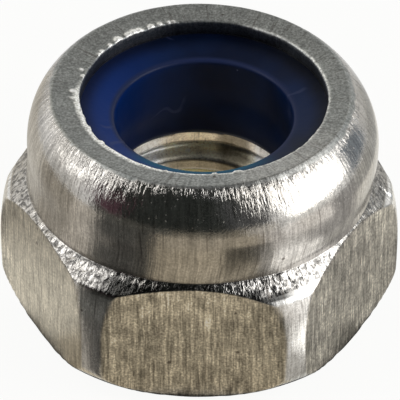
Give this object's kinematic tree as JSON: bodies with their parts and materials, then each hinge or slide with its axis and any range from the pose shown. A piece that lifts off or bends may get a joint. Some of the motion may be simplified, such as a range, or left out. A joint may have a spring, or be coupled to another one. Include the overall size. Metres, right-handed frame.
{
  "type": "nylon insert lock nut",
  "caption": "Hexagon lock nut with turned corners and a collar rolled over a nylon ring that grips the bolt thread.",
  "frame": {"origin": "centre of the bearing face, on the thread axis", "axes": "+Z along the thread axis, from the bearing face up to the rolled collar; two flats face +Y and -Y, and two corners lie on +X and -X"},
  "size_m": [0.008, 0.007, 0.0049],
  "materials": {
    "stainless_steel": "bright stainless steel: wiped flats with fine upright scratches, rolled and hammered collar",
    "blue_nylon": "glossy dark blue nylon, slightly translucent"
  },
  "bodies": {
    "root": {"nut_body": "stainless_steel", "nylon_insert": "blue_nylon"}
  },
  "joints": []
}
